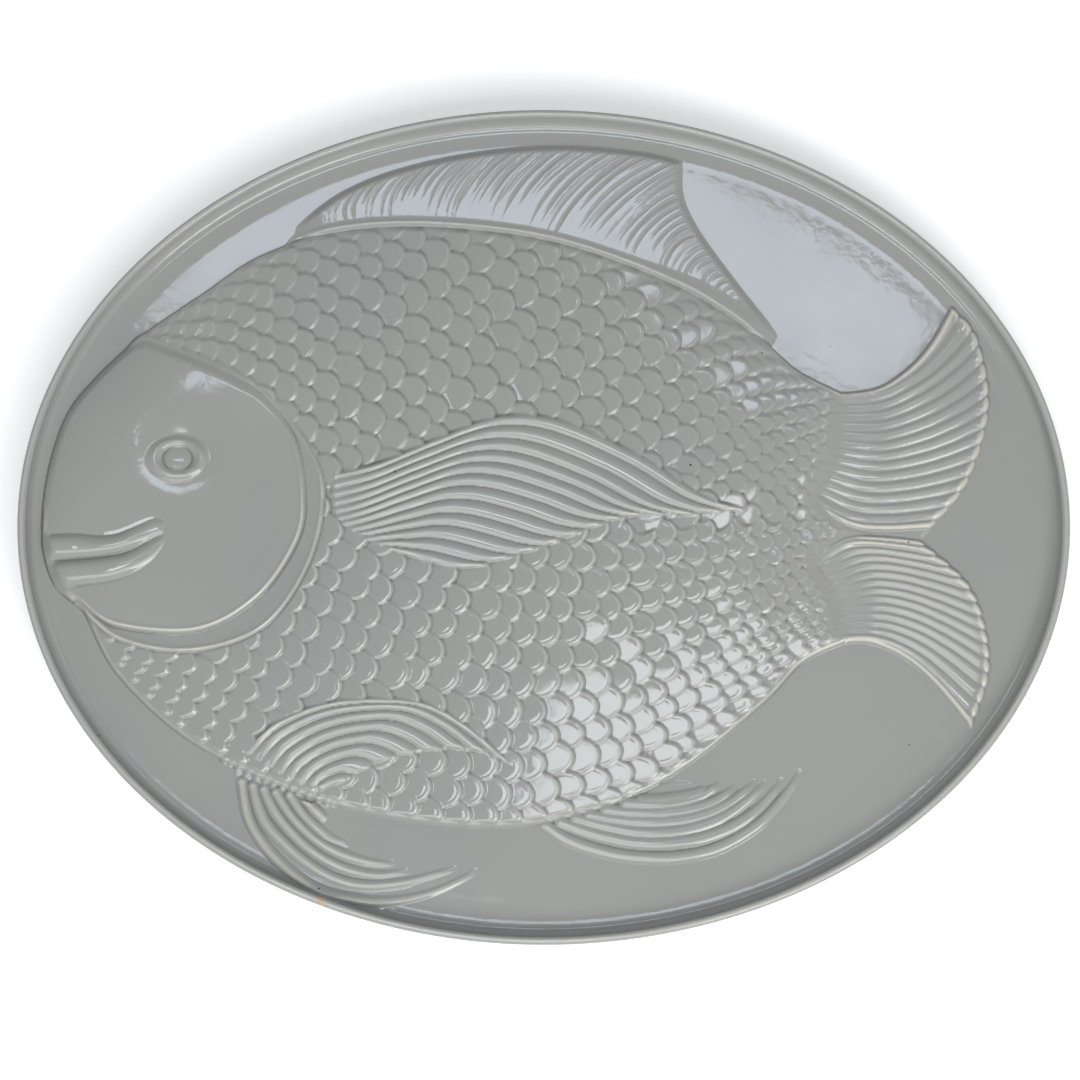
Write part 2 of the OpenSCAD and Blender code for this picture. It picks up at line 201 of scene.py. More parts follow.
# The rays of the two fins below the belly, from root to tip
RAYS_PX = {
    "pelvic_fin_far": [
        [[245, 778], [253, 816], [279, 851], [317, 880], [355, 891], [392, 892], [430, 885], [467, 869],
         [492, 854]],
        [[256, 782], [267, 814], [292, 841], [317, 860], [342, 872], [370, 877], [405, 874], [442, 865],
         [470, 857]],
        [[267, 785], [281, 810], [305, 836], [330, 853], [355, 863], [380, 867], [405, 864], [419, 861]],
        [[279, 788], [296, 812], [320, 834], [342, 846], [365, 853], [385, 856], [402, 854]],
        [[293, 791], [306, 809], [322, 824], [337, 833], [354, 837]],
        [[309, 795], [319, 806], [331, 814]],
    ],
    "anal_fin": [
        [[546, 820], [568, 834], [605, 846], [642, 851], [680, 850], [717, 841], [755, 819], [780, 794],
         [799, 767], [806, 756]],
        [[560, 816], [592, 827], [630, 835], [667, 836], [705, 830], [742, 814], [769, 790], [786, 766]],
        [[574, 812], [605, 820], [642, 826], [680, 824], [717, 813], [749, 792], [770, 771]],
        [[588, 809], [617, 814], [650, 816], [685, 813], [715, 804], [740, 789], [759, 773]],
        [[604, 804], [630, 807], [660, 807], [690, 803], [715, 795], [738, 779]],
        [[624, 798], [650, 799], [675, 797], [700, 790], [721, 778]],
        [[640, 796], [662, 795], [686, 791], [708, 783]],
    ],
}
# Their height, half width, sharpness and taper
RAY_SHAPE = {"pelvic_fin_far": (1.35, 2.5, 1.5, 0.6), "anal_fin": (1.25, 2.8, 0.8, 0.3)}
TAIL_LOBES = ("tail_upper_lobe", "tail_lower_lobe")
FLOOR_FINS = ("dorsal_fin", "pelvic_fin_far", "anal_fin") + TAIL_LOBES
FLANK_FINS = ("pectoral_fin", "pelvic_fin_near")
# Share of the dorsal fin's rays that end on its steep rear edge
DORSAL_REAR_SHARE = 0.42
# Number of the point on the tip line where that edge ends
DORSAL_PEAK = 4

# Lower and upper line of each lip
LIPS_PX = {
    "upper_lip": (
        [[46, 561], [60, 561], [105, 558], [125, 554], [141, 548], [156, 541], [166, 537]],
        [[45, 539], [60, 538], [80, 538], [100, 540], [120, 538], [140, 530], [155, 524], [164, 523],
         [169, 528]],
    ),
    "lower_lip": (
        [[55, 586], [67, 588], [110, 583], [128, 578], [145, 570], [158, 560], [166, 549], [169, 543]],
        [[52, 567], [65, 564], [100, 561], [115, 559], [130, 556], [145, 549], [156, 543], [166, 538]],
    ),
}
EYE_PX = [179, 463]
# Radius of the eye, half sizes of the lid round it and radius of the orbit, in mm
EYE_R = 6.0
LID_HALF = (11.5, 8.5)
ORBIT_R = 20.0

# Scales of the belly and of the back: rows in the fish's whole height, length along a row over the distance
# between rows, first and last share of the height, half length and half width of a scale over those, its
# direction, tilt and depth of the line inside its edge
SCALE_SETS = (
    (23, 0.98, 0.0, 0.54, 0.92, 0.70, -0.08, 0.11, 0.07),
    (39, 2.9, 0.53, 1.0, 0.53, 1.18, 0.48, 0.14, 0.0),
)
SCALE_H = 1.6

XS, YS = (np.arange(-half - 2, half + 2 + CELL, CELL) for half in FLOOR_HALF)
GX, GY = np.meshgrid(XS, YS)
rng = np.random.default_rng(SEED)
# Axis and step to each of a node's neighbours
NEIGHBOURS = ((0, 1), (0, -1), (1, 1), (1, -1))


def place(px):
    """Places on the floor, in mm, of photograph pixels."""
    return (np.asarray(px, float) - PHOTO_MID) * [1, -1] / PHOTO_REACH * FISH_REACH


def curve(px, steps):
    """Evenly spread places along the smooth curve through a list of pixels."""
    points = place(px)
    run = np.concatenate([[0], np.cumsum(np.hypot(*np.diff(points, axis=0).T))])
    index = np.interp(np.linspace(0, run[-1], steps + 1), run, np.arange(len(points)))
    i = np.minimum(index.astype(int), len(points) - 2)
    t = (index - i)[:, None]
    p0, p1 = points[np.maximum(i - 1, 0)], points[i]
    p2, p3 = points[i + 1], points[np.minimum(i + 2, len(points) - 1)]
    return p1 + t / 2 * (p2 - p0 + t * (2 * p0 - 5 * p1 + 4 * p2 - p3 + t * (3 * (p1 - p2) + p3 - p0)))


def patch(first, last, root, tip):
    """Grid of places that fills four curves."""
    s = np.linspace(0, 1, len(first))[:, None, None]
    t = np.linspace(0, 1, len(root))[None, :, None]
    corners = (1 - t) * ((1 - s) * first[0] + s * first[-1]) + t * ((1 - s) * last[0] + s * last[-1])
    return (1 - t) * first[:, None] + t * last[:, None] + (1 - s) * root[None] + s * tip[None] - corners


def ramp(value, low, high):
    """Smooth step from 0 at low to 1 at high."""
    t = np.clip((value - low) / (high - low), 0, 1)
    return t * t * t * (t * (6 * t - 15) + 10)


def bell(value, width):
    """Smooth bump of height 1 about zero."""
    return np.exp(-(value / width) ** 2)


def unit(vectors):
    """Vectors made one long."""
    return vectors / np.maximum(np.linalg.norm(vectors, axis=-1), 1e-9)[..., None]


def inside(loop):
    """Which nodes of the field lie inside a closed loop."""
    hit = np.zeros(GX.shape, bool)
    for a, b in zip(loop, np.roll(loop, -1, axis=0)):
        rows = (YS >= min(a[1], b[1])) & (YS < max(a[1], b[1]))
        if rows.any():
            cross = a[0] + (YS[rows] - a[1]) / (b[1] - a[1]) * (b[0] - a[0])
            hit[rows] ^= GX[rows] < cross[:, None]
    return hit


def window_of(low, high):
    """Part of the field between two corners."""
    i0, i1 = np.searchsorted(XS, (low[0], high[0]))
    j0, j1 = np.searchsorted(YS, (low[1], high[1]))
    return np.s_[j0:j1, i0:i1]


def trace(line, reach):
    """Distance of each node from an open line, up to a reach, and share of the line passed there."""
    near, share = np.full(GX.shape, float(reach)), np.zeros(GX.shape)
    run = np.concatenate([[0], np.cumsum(np.hypot(*np.diff(line, axis=0).T))])
    for k, (a, b) in enumerate(zip(line[:-1], line[1:])):
        window = window_of(np.minimum(a, b) - reach, np.maximum(a, b) + reach)
        along = b - a
        dx, dy = GX[window] - a[0], GY[window] - a[1]
        u = np.clip((dx * along[0] + dy * along[1]) / max(along @ along, 1e-9), 0, 1)
        away = np.hypot(dx - u * along[0], dy - u * along[1])
        closer = away < near[window]
        near[window] = np.where(closer, away, near[window])
        share[window] = np.where(closer, (run[k] + u * (run[k + 1] - run[k])) / run[-1], share[window])
    return near, share


def distance(line, reach=REACH):
    """Distance of each node of the field from an open line, up to a reach."""
    return trace(line, reach)[0]


def nearest(lines):
    """Distance of each node of the field from the closest of some lines."""
    near = np.full(GX.shape, REACH)
    for line in lines:
        near = np.minimum(near, distance(line))
    return near


def depth(loop, reach=REACH):
    """Distance of each node inside a closed loop from its edge, below zero outside."""
    near = distance(np.concatenate([loop, loop[:1]]), reach)
    return np.where(inside(loop), near, -near)


def unmap(lattice, where):
    """Shares (s, t) along and across a grid of places for each node chosen, as two fields."""
    ns, nt = lattice.shape[0] - 1, lattice.shape[1] - 1
    guess = np.full(GX.shape, -1)
    col = np.clip(np.rint((lattice[..., 0] - XS[0]) / CELL).astype(int), 0, len(XS) - 1)
    row = np.clip(np.rint((lattice[..., 1] - YS[0]) / CELL).astype(int), 0, len(YS) - 1)
    guess[row, col] = np.arange((ns + 1) * (nt + 1)).reshape(ns + 1, nt + 1)
    while (guess[where] < 0).any():
        for axis, step in NEIGHBOURS:
            guess = np.where(guess < 0, np.roll(guess, step, axis), guess)
    s, t = (guess[where] // (nt + 1)).astype(float), (guess[where] % (nt + 1)).astype(float)
    goal = np.stack([GX[where], GY[where]], 1)
    for _ in range(6):
        i = np.clip(np.floor(s), 0, ns - 1).astype(int)
        k = np.clip(np.floor(t), 0, nt - 1).astype(int)
        fs, ft = (s - i)[:, None], (t - k)[:, None]
        p, q = lattice[i, k], lattice[i + 1, k]
        r, v = lattice[i, k + 1], lattice[i + 1, k + 1]
        miss = goal - ((1 - fs) * ((1 - ft) * p + ft * r) + fs * ((1 - ft) * q + ft * v))
        ds, dt = (1 - ft) * (q - p) + ft * (v - r), (1 - fs) * (r - p) + fs * (v - q)
        det = ds[:, 0] * dt[:, 1] - ds[:, 1] * dt[:, 0]
        det = np.where(np.abs(det) < 1e-5, 1e-5, det)
        s = np.clip(s + np.clip((miss[:, 0] * dt[:, 1] - miss[:, 1] * dt[:, 0]) / det, -3, 3), -4, ns + 4)
        t = np.clip(t + np.clip((ds[:, 0] * miss[:, 1] - ds[:, 1] * miss[:, 0]) / det, -3, 3), -4, nt + 4)
    full_s, full_t = np.zeros(GX.shape), np.zeros(GX.shape)
    full_s[where], full_t[where] = s / ns, t / nt
    return full_s, full_t


def soften(field, sigma):
    """Field blurred over a distance in mm."""
    n = int(math.ceil(3 * sigma / CELL))
    kernel = np.exp(-0.5 * (np.arange(-n, n + 1) * CELL / sigma) ** 2)
    kernel /= kernel.sum()
    for axis in (0, 1):
        pad = np.pad(field, [(n, n) if a == axis else (0, 0) for a in (0, 1)], mode="edge")
        size = field.shape[axis]
        field = sum(w * np.take(pad, np.arange(o, o + size), axis) for o, w in enumerate(kernel))
    return field


def inset_of(x, y):
    """Distance in from the platter's outer edge, near enough close to it."""
    share = np.maximum(np.hypot(x / PLATTER_HALF[0], y / PLATTER_HALF[1]), 0.01)
    steep = np.hypot(x / PLATTER_HALF[0] ** 2, y / PLATTER_HALF[1] ** 2) / share
    return (1 - share) / np.maximum(steep, 1e-6)


def floor_height(x, y):
    """Height of the floor: slightly uneven in the middle and turned up towards the wall."""
    waves = ((0.030, 0.041, 0.024, 0.3), (0.022, -0.028, 0.052, 1.9), (0.004, 0.095, -0.052, 4.1),
             (0.003, 0.047, 0.108, 2.6))
    inset = inset_of(x, y)
    total = sum(h * np.sin(a * x + b * y + c) for h, a, b, c in waves) * ramp(inset, RIM_RUN, 3 * RIM_RUN)
    return FLOOR_Z + total + COVE_H * np.clip((COVE_RUN - inset) / (COVE_RUN - RIM_RUN), 0, 1.2) ** 2


# Outlines of the fish
upper_edge = curve(FOREHEAD_PX + BACK_PX, 400)
lower_edge = curve(CHIN_PX + BELLY_PX, 400)
tail_root = curve(TAIL_ROOT_PX, 200)
flank_end = curve(FLANK_END_PX, 240)
gill_inner = curve(GILL_INNER_PX, 300)
gill_outer = curve(GILL_OUTER_PX, 300)
face = curve(CHIN_PX[::-1] + FOREHEAD_PX, 200)
fish_loop = np.concatenate([upper_edge, flank_end[::-1], lower_edge[::-1]])
head_loop = np.concatenate([gill_inner, face[::-1]])
cover_loop = np.concatenate([gill_outer, face[::-1]])
body_lattice = patch(
    curve(BELLY_PX, 400), curve(BACK_PX, 400), curve(SCALES_START_PX, 300), curve(SCALES_END_PX, 300)
)


def fin_lattice(name):
    """Fine grid over a fin, along its rays and across them."""
    first, last, root, tip = FINS_PX[name]
    root = [first[0], *root, last[0]]
    tip = [first[-1], *tip, last[-1]]
    across = 320
    tips = curve(tip, across)
    if name == "dorsal_fin":
        rear = int(across * DORSAL_REAR_SHARE)
        tips = np.concatenate([curve(tip[:DORSAL_PEAK + 1], rear)[:-1], curve(tip[DORSAL_PEAK:], across - rear)])
    return patch(curve(first, 160), curve(last, 160), curve(root, across), tips)


def fish_span(x):
    """Lowest and highest place of the fish's outline at each place along it."""
    return np.interp(x, *lower_edge.T), np.interp(x, *upper_edge.T)


def fin_loop(lattice, under):
    """Outline of a fin whose root runs on for a distance under what the fin grows from."""
    root = lattice[0] + under * unit(lattice[0] - lattice[12])
    return np.concatenate([lattice[:, 0], lattice[-1, 1:], lattice[-2::-1, -1], root[::-1]])


def fin_depth(lattice):
    """Depth inside a fin, counted from its free edges only."""
    near = nearest((lattice[:, 0], lattice[:, -1], lattice[-1]))
    return np.where(inside(fin_loop(lattice, FIN_UNDER)), near, -near)


def swell():
    """Height of the fish's plain surface above the floor."""
    low, high = fish_span(GX)
    half = (high - low) / 2
    off = (GY - (high + low) / 2) / half
    return STEP_H + SWELL_H * np.sqrt(half / half.max()) * np.maximum(0, 1 - off * off)


def scale_list():
    """Order, middle, direction, half length and width, tilt and edge line of each scale, tail first."""
    scales = []
    nt = body_lattice.shape[1] - 1
    bottom, top = fish_span(XS)
    for rows, stretch, low, high, long, wide, turn, tilt, line_h in SCALE_SETS:
        pitch = stretch * np.maximum(top - bottom, 40) / rows
        passed = np.cumsum(CELL / pitch)
        step = nt / rows
        for row in range(int(low * rows), int(high * rows)):
            t = (row + 0.5) * step
            k, k0, k1 = int(t), int(max(t - step / 2, 0)), int(min(t + step / 2, nt))
            line = body_lattice[:, k] * (1 - t + k) + body_lattice[:, k + 1] * (t - k)
            tangent = unit(np.gradient(line, axis=0))
            across = body_lattice[:, k1] - body_lattice[:, k0]
            gap = np.abs(tangent[:, 0] * across[:, 1] - tangent[:, 1] * across[:, 0]) * step / max(k1 - k0, 1)
            count = np.maximum.accumulate(np.interp(line[:, 0], XS, passed))
            for n in np.arange(math.ceil(count[0] - 1), count[-1] + 1) + 0.5 * (row % 2):
                i = int(np.clip(np.searchsorted(count, n), 0, len(line) - 1))
                length = np.interp(line[i, 0], XS, pitch) / max(abs(tangent[i, 0]), 0.6)
                size = rng.normal(1, 0.06)
                a, b = long * length * size, max(wide * gap[i] * size, 2.2)
                past = (n - count[i]) * (n > count[-1])
                middle = line[i] + (past * length - 0.45 * a) * tangent[i] + rng.normal(0, 0.08, 2) * b
                order = middle[0] * math.cos(turn) + middle[1] * math.sin(turn) + rng.normal(0, 0.3)
                angle = 0.5 * math.atan2(tangent[i, 1], tangent[i, 0]) + turn + rng.normal(0, 0.12)
                scales.append((order, middle, angle, a, b, tilt, line_h * min(1, b / 6)))
    return sorted(scales, key=lambda s: -s[0])


def scales_field():
    """Height of the scales above the flank. Each lies over the front of those behind it."""
    field = np.zeros(GX.shape)
    for _, middle, angle, a, b, tilt, line_h in scale_list():
        reach = max(a, b) + 1
        window = window_of(middle - reach, middle + reach)
        dx, dy = GX[window] - middle[0], GY[window] - middle[1]
        ahead = dx * math.cos(angle) + dy * math.sin(angle)
        over = (dy * math.cos(angle) - dx * math.sin(angle)) / b
        far = np.hypot(ahead / a, over)
        from_rim = (1 - far) * b
        edge = np.clip(from_rim / min(1.0, 0.3 * b), 0, 1)
        rise = SCALE_H * min(1, 0.35 + 0.65 * b / 7.2)
        top = np.maximum(rise - tilt * (a - ahead), 0.05) - 0.05 * over ** 2
        top -= line_h * bell(from_rim - 1.8, 0.5)
        field[window] += (0.55 * edge + 0.45 * edge * edge * (3 - 2 * edge)) * (top - field[window])
    return field


def ridges(t, count, blunt=0.8):
    """Rounded ridges with narrow grooves between them, 0 to 1."""
    return np.abs(np.sin(math.pi * count * t)) ** blunt


def lip_field(lines):
    """Rounded height of one of the fish's lips, 0 to 1, and its depth."""
    low, high = curve(lines[0], 80), curve(lines[1], 80)
    d = depth(np.concatenate([low, high[::-1]]), 8)
    half = np.hypot(*(high - low).T).max() / 2
    return 1 - (1 - np.clip(d / half, 0, 1)) ** 3, d


def crescent(d, fade):
    """Height of the gill cover above the flank: a channel between the head plate and a raised outer edge."""
    from_head = np.maximum(-d["head"], 0)
    from_edge = np.maximum(d["cover"], 0)
    share = from_head / np.maximum(from_head + from_edge, 0.2)
    return 0.1 + 1.15 * share ** 1.8 + 0.3 * (1 - fade) * bell(from_edge - 1.1, 0.8)


def whole_depth(upper, lower):
    """Depth inside the outline of the fish, its tail and the web between the tail's lobes taken together."""
    web = np.concatenate([upper[:, 0], lower[::-1, -1]])
    end = np.array([upper[-1, 0], lower[-1, -1]])
    near = nearest((upper_edge, lower_edge, face, upper[:, -1], upper[-1], lower[:, 0], lower[-1], end))
    loops = (fish_loop, cover_loop, fin_loop(upper, TAIL_UNDER), fin_loop(lower, TAIL_UNDER), web)
    covered = np.any([inside(loop) for loop in loops], axis=0)
    return np.where(covered, near, -near)


def tail_side(line):
    """Distance ahead of a line across the tail root, below zero behind it."""
    x, far = line[0, 0], 400.0
    line = np.concatenate([[[x, -far]], line, [[x, far]]])
    loop = np.concatenate([line, [[-far, far], [-far, -far]]])
    near = distance(line, 50)
    return np.where(inside(loop), near, -near)


def floor_fin(name, d, s, t, back):
    """Height of a fin that lies on the floor, and the depth and width that its edge is rounded by."""
    count, ray_h, slope = FIN_RAYS[name]
    if name == "dorsal_fin":
        bent = t - 0.09 * s * (1 - s)
        height = FIN_T + 0.35 + 0.6 * (1 - ramp(back, 0.6, 3.5 + 4.0 * ramp(GX, 20, 90)))
        for rays, deep, late in ((count, ray_h, 0.35), (1.73 * count, 0.45 * ray_h, 0.75)):
            n = np.clip((bent * rays + 0.5).astype(int), 0, int(rays))
            strength = rng.uniform(0.1, 1.0, int(rays) + 1)[n]
            start = rng.uniform(-0.2, late, int(rays) + 1)[n]
            groove = (1 - np.abs(np.sin(math.pi * rays * bent))) ** 4 * strength * ramp(s, start, start + 0.5)
            height -= deep * groove * ramp(d, 1.0, 3.4) * ramp(back, 2.6, 5.5)
        ends = np.min([np.hypot(GX - x, GY - y) for x, y in place(DORSAL_ENDS_PX)], axis=0)
        return height * ramp(ends, -3, 16), d, slope
    ridge = ridges(t, count)
    height = FIN_T + ray_h * (ridge * (0.2 + 0.8 * ramp(s, 0.0, 0.5)) - 0.25)
    return height, d + 0.8 * (ridge - 0.7) * ramp(s, 0.75, 1.0), slope


def ray_fin(name, d, s):
    """Height of a fin below the belly: separate rays that taper into the floor, on a thin web."""
    tall, half, power, taper = RAY_SHAPE[name]
    rise = np.zeros(GX.shape)
    for px in RAYS_PX[name]:
        near, share = trace(curve(px, 60), 4.0)
        wide = half * (1 - 0.35 * ramp(share, 0.5, 1.0))
        high = tall * (1 - taper * ramp(share, 0.4, 1.0)) * (1 - ramp(share, 0.86, 1.0))
        rise = np.maximum(rise, high * np.clip(1 - (near / wide) ** 2, 0, 1) ** power)
    return rise + 0.25 * ramp(d, -0.4, 2.5) * (1 - ramp(s, 0.4, 0.95))


def add_floor_fins(field, d, lattices, back):
    """Field with the fins and the tail's lobes, which lie on the floor."""
    for name in FLOOR_FINS:
        d[name] = fin_depth(lattices[name])
        where = d[name] > -2.5
        s, t = unmap(lattices[name], where)
        limit = d["whole"] if name in TAIL_LOBES else d[name]
        if name in RAYS_PX:
            edge, height = ramp(limit, -1.2, 0.6), ray_fin(name, limit, s)
        else:
            height, rounded, slope = floor_fin(name, limit, s, t, back)
            edge = ramp(rounded, -0.9, slope)
        if name in TAIL_LOBES:
            height = height + 0.45 * bell(d[name] - 2.2, 1.5)
            edge = edge * ramp(d[name], -0.7, 1.0)
        field = np.where(where, np.maximum(field, edge * height), field)
    return field


def add_web(field, d, first, last):
    """Field with the web between the two lobes of the tail, and the crease that parts them."""
    front = place(WEB_FRONT_PX)
    d["web"] = depth(np.concatenate([front[:1], first, last[::-1], front[1:]]))
    crease = ramp(GX, *place(CREASE_PX)[:, 0])
    return np.maximum(field, (FIN_T + 0.4 - crease) * ramp(d["web"], -2.5, -1.0) * ramp(d["whole"], -0.9, 1.8))


def add_flank(field, d, plain):
    """Field with the flank and its scales, over the roots of the fins."""
    side = tail_side(flank_end)
    scales = scales_field() * ramp(d["whole"], 1.0, 3.0) * ramp(-d["cover"], -0.4, 1.0) * ramp(side, -0.5, 6.0)
    soft = 1.0 + 2.5 * ramp(np.abs(GY - place(NOTCH_PX)[1]), 11, 26)
    return field + ramp(d["whole"], -0.7, 1.1) * ramp(side, -soft, soft) * (plain + scales - field)


def add_head(field, d, plain):
    """Field with the gill cover's crescent and the head plate, rounded over at the face."""
    within, rounded = ramp(d["whole"], -0.7, 1.1), ramp(d["whole"], -0.8, 3.2)
    fade = ramp(GY, *place(GILL_FADE_PX)[:, 1])
    cover = plain + crescent(d, fade) * rounded
    field = field + ramp(d["cover"], -0.6 - 1.2 * fade, 0.7 + 1.2 * fade) * within * (cover - field)
    from_outline = np.minimum(distance(upper_edge, CROWN_RUN), distance(face, CROWN_RUN))
    crown = 4.9 + 0.5 * (1 - ramp(GY, -30, 65)) - 3.7 * (1 - from_outline / CROWN_RUN) ** 3
    bead = 0.3 * (1 - fade) * bell(d["head"] - 1.0, 0.8) * ramp(d["whole"], 2.0, 8.0)
    plate = plain + 0.5 * (3.8 - plain) * ramp(d["head"], 0, 22)
    plate = plate + ramp(GY, -15, 20) * (crown - plate) + (HEAD_RISE + bead) * rounded
    return field + ramp(d["head"], -0.8 - 2.2 * fade, 0.6 + 2.8 * fade) * within * (plate - field)


def add_flank_fins(field, d, lattices, plain):
    """Field with the two fins that lie on the flank."""
    for name in FLANK_FINS:
        d[name] = depth(fin_loop(lattices[name], 0))
        where = d[name] > -2
        s, t = unmap(lattices[name], where)
        count, ray_h, slope = FIN_RAYS[name]
        ridge = ridges(t, count, 0.6)
        height = plain + FLANK_FIN_H + ray_h * (ridge - 0.3) * (0.3 + 0.7 * ramp(s, 0.0, 0.14))
        edge = ramp(d[name] + 0.6 * (ridge - 0.6), -0.7, slope)
        field = np.where(where, field + edge * (height - field), field)
    return field


def add_mouth(field, d):
    """Field with the lips, which are lower towards the mouth's corner, as is the line that parts them."""
    corner_x = place(MOUTH_CORNER_PX)[0]
    tall = MOUTH_H * (1 - 0.5 * ramp(GX, corner_x - 22, corner_x))
    for name, lines in LIPS_PX.items():
        crown, d[name] = lip_field(lines)
        groove = 0.12 * bell(d[name], 1.1) * (1 - 0.8 * ramp(GX, corner_x - 9, corner_x))
        field = np.where(d[name] > -4, field + (tall * crown - groove) * ramp(d["whole"], 0.4, 5.0), field)
    return field


def add_eye(field, d):
    """Field with the eye and its lid, in a shallow orbit."""
    eye = place(EYE_PX)
    ex, ey = GX - eye[0], GY - eye[1]
    bowl = np.hypot(ex - 1.0, (ey - 3.0) * 0.95)
    field -= 1.3 * bell(bowl, 0.55 * ORBIT_R)
    lid = np.hypot(ex / LID_HALF[0], ey / LID_HALF[1])
    pupil = np.hypot(ex, ey)
    field += 1.4 * np.exp(-(np.abs(lid - 0.80) / 0.2) ** 3)
    field += 1.3 * np.sqrt(np.clip(1 - (pupil / (EYE_R - 0.6)) ** 2, 0, 1))
    d["eye_ring"] = (1 - lid) * 9.5
    d["eye"] = EYE_R - pupil
    return field


def relief():
    """Height of the relief above the floor, and the depths of its outlines."""
    lattices = {name: fin_lattice(name) for name in FINS_PX}
    upper, lower = (lattices[name] for name in TAIL_LOBES)
    d = {"fish": depth(fish_loop), "head": depth(head_loop), "cover": depth(cover_loop)}
    d["whole"] = whole_depth(upper, lower)
    ahead = tail_side(tail_root)
    back = distance(curve(BACK_PX, 300))
    # The flank sinks to the level of the fins where the tail begins, and a little lower between the lobes
    plain = swell()
    plain = plain + (1 - ramp(ahead, -4, 45)) * (FIN_T + 0.35 - plain)
    notch = place(NOTCH_PX)
    plain -= 0.5 * np.exp(-((GX - notch[0]) / 14) ** 2 - ((GY - notch[1]) / 9) ** 2)

    field = add_floor_fins(np.zeros(GX.shape), d, lattices, back)
    field = add_web(field, d, upper[:, 0], lower[:, -1])
    field = add_flank(field, d, plain)
    field -= 0.55 * bell(back, 0.7) * ramp(ahead, 2.0, 30.0)
    field = add_head(field, d, plain)
    for bead in curve(BEADS_PX, BEAD_COUNT):
        field += 0.6 * np.exp(-((GX - bead[0]) ** 2 + (GY - bead[1]) ** 2) / 1.3 ** 2)
    field = add_flank_fins(field, d, lattices, plain)
    return add_eye(add_mouth(field, d), d), d


height_field, depths = relief()
height_field = soften(height_field, GLAZE_SOFTEN)
SURFACE = floor_height(GX, GY) + height_field - 0.03
slope_y, slope_x = np.gradient(SURFACE, CELL)
NORMALS = unit(np.stack([-slope_x, -slope_y, np.ones(GX.shape)], -1))


def glaze_thinness_and_shade():
    """Thinness of the glaze with painted shade: low in hollows, where pooled glaze is darkened further as
    painted shade, high on edges, less on the lips and back, more on the tail.
    """
    bend = soften(np.gradient(slope_x, CELL, axis=1) + np.gradient(slope_y, CELL, axis=0), 0.4)
    steep = ramp(np.hypot(slope_x, slope_y), 0.15, 0.6)
    on_back = ramp(GY, 0, 30)
    on_lips = ramp(np.maximum(depths["upper_lip"], depths["lower_lip"]), -2.5, 0.0)
    on_tail = ramp(GX, *place(TAIL_TONE_PX)[:, 0])
    # Hollows and creases get low values, which paint pooled glaze and shade into them
    thin_and_shade = np.clip(PLAIN - (0.45 - 0.06 * on_back) * bend + 0.1 * steep, 0, 1)
    thin_and_shade -= np.maximum(0.65 * on_lips, 0.45 * on_back * (1 - on_tail)) * np.clip(thin_and_shade - PLAIN, 0, 1)
    return thin_and_shade + on_tail * (0.7 * np.clip(PLAIN - thin_and_shade, 0, 1) + 0.5 * np.clip(thin_and_shade - PLAIN, 0, 0.33))


GLAZE_THIN_AND_SHADE = glaze_thinness_and_shade()


def cell_mean(field):
    """Mean of a field's four nodes round each cell."""
    return (field[:-1, :-1] + field[1:, :-1] + field[:-1, 1:] + field[1:, 1:]) / 4


PIECES = (
    "fish_body", "head", "gill_cover", "eye_ring", "eye", "upper_lip", "lower_lip", "dorsal_fin",
    "pectoral_fin", "pelvic_fin_near", "pelvic_fin_far", "anal_fin", "tail_upper_lobe", "tail_lower_lobe",
)


def label_cells():
    """Which piece each cell of the field belongs to, as an index into PIECES from 1 on."""
    at = {name: cell_mean(field) for name, field in depths.items()}
    number = {name: i + 1 for i, name in enumerate(PIECES)}
    label = np.zeros((len(YS) - 1, len(XS) - 1), int)
    flare = 1.3
    for name in FLOOR_FINS:
        label[at[name] > -flare] = number[name]
    label[(at["web"] > -1) & (label == 0)] = number["tail_lower_lobe"]
    forward = at["cover"] > at["fish"] - 0.8
    label[(at["fish"] > -flare) & ((at["fish"] > 0) | (label == 0))] = number["fish_body"]
    label[(at["cover"] > -flare) & forward & ((at["cover"] > 0) | (at["fish"] < 0))
          & (label != number["dorsal_fin"])] = number["head"]
    label[(at["cover"] > -0.4) & (at["head"] <= 0) & (at["whole"] > 0)] = number["gill_cover"]
    label[at["head"] > 0] = number["head"]
    for name in FLANK_FINS:
        label[(at[name] > -0.6) & (at["cover"] < -0.4)] = number[name]
    for name in (*LIPS_PX, "eye_ring", "eye"):
        label[at[name] > 0] = number[name]
    return label


def run_max(values, mask, axis):
    """Largest value along each unbroken run of a mask."""
    for _ in range(2):
        gaps = np.cumsum(~mask, axis) * (values.max() + 1)
        values = np.flip(np.where(mask, np.maximum.accumulate(values + gaps, axis) - gaps, 0), axis)
        mask = np.flip(mask, axis)
    return values


def keep_whole(label):
    """Label without loose islands of a piece and without cells that meet at a corner only."""
    for number in range(1, len(PIECES) + 1):
        mask = label == number
        group = np.where(mask, np.arange(1, mask.size + 1).reshape(mask.shape), 0)
        while True:
            spread = run_max(run_max(group, mask, 0), mask, 1)
            if (spread == group).all():
                break
            group = spread
        values, counts = np.unique(group[mask], return_counts=True)
        loose = mask & (group != values[counts.argmax()])
        for _ in range(60):
            for axis, step in NEIGHBOURS:
                moved = np.roll(label, step, axis)
                take = loose & (moved != number)
                label = np.where(take, moved, label)
                loose &= ~take
            if not loose.any():
                break
    for _ in range(40):
        a, b, c, e = label[:-1, :-1], label[:-1, 1:], label[1:, :-1], label[1:, 1:]
        first = (a == e) & (b != a) & (c != a)
        second = (b == c) & (a != b) & (e != b)
        if not (first.any() or second.any()):
            break
        j, i = np.nonzero(first)
        label[j, i + 1] = label[j, i]
        j, i = np.nonzero(second & ~first)
        label[j, i] = label[j, i + 1]
    return label


def in_scene(name, data):
    """New object in the scene."""
    obj = bpy.data.objects.new(name, data)
    bpy.context.scene.collection.objects.link(obj)
    return obj


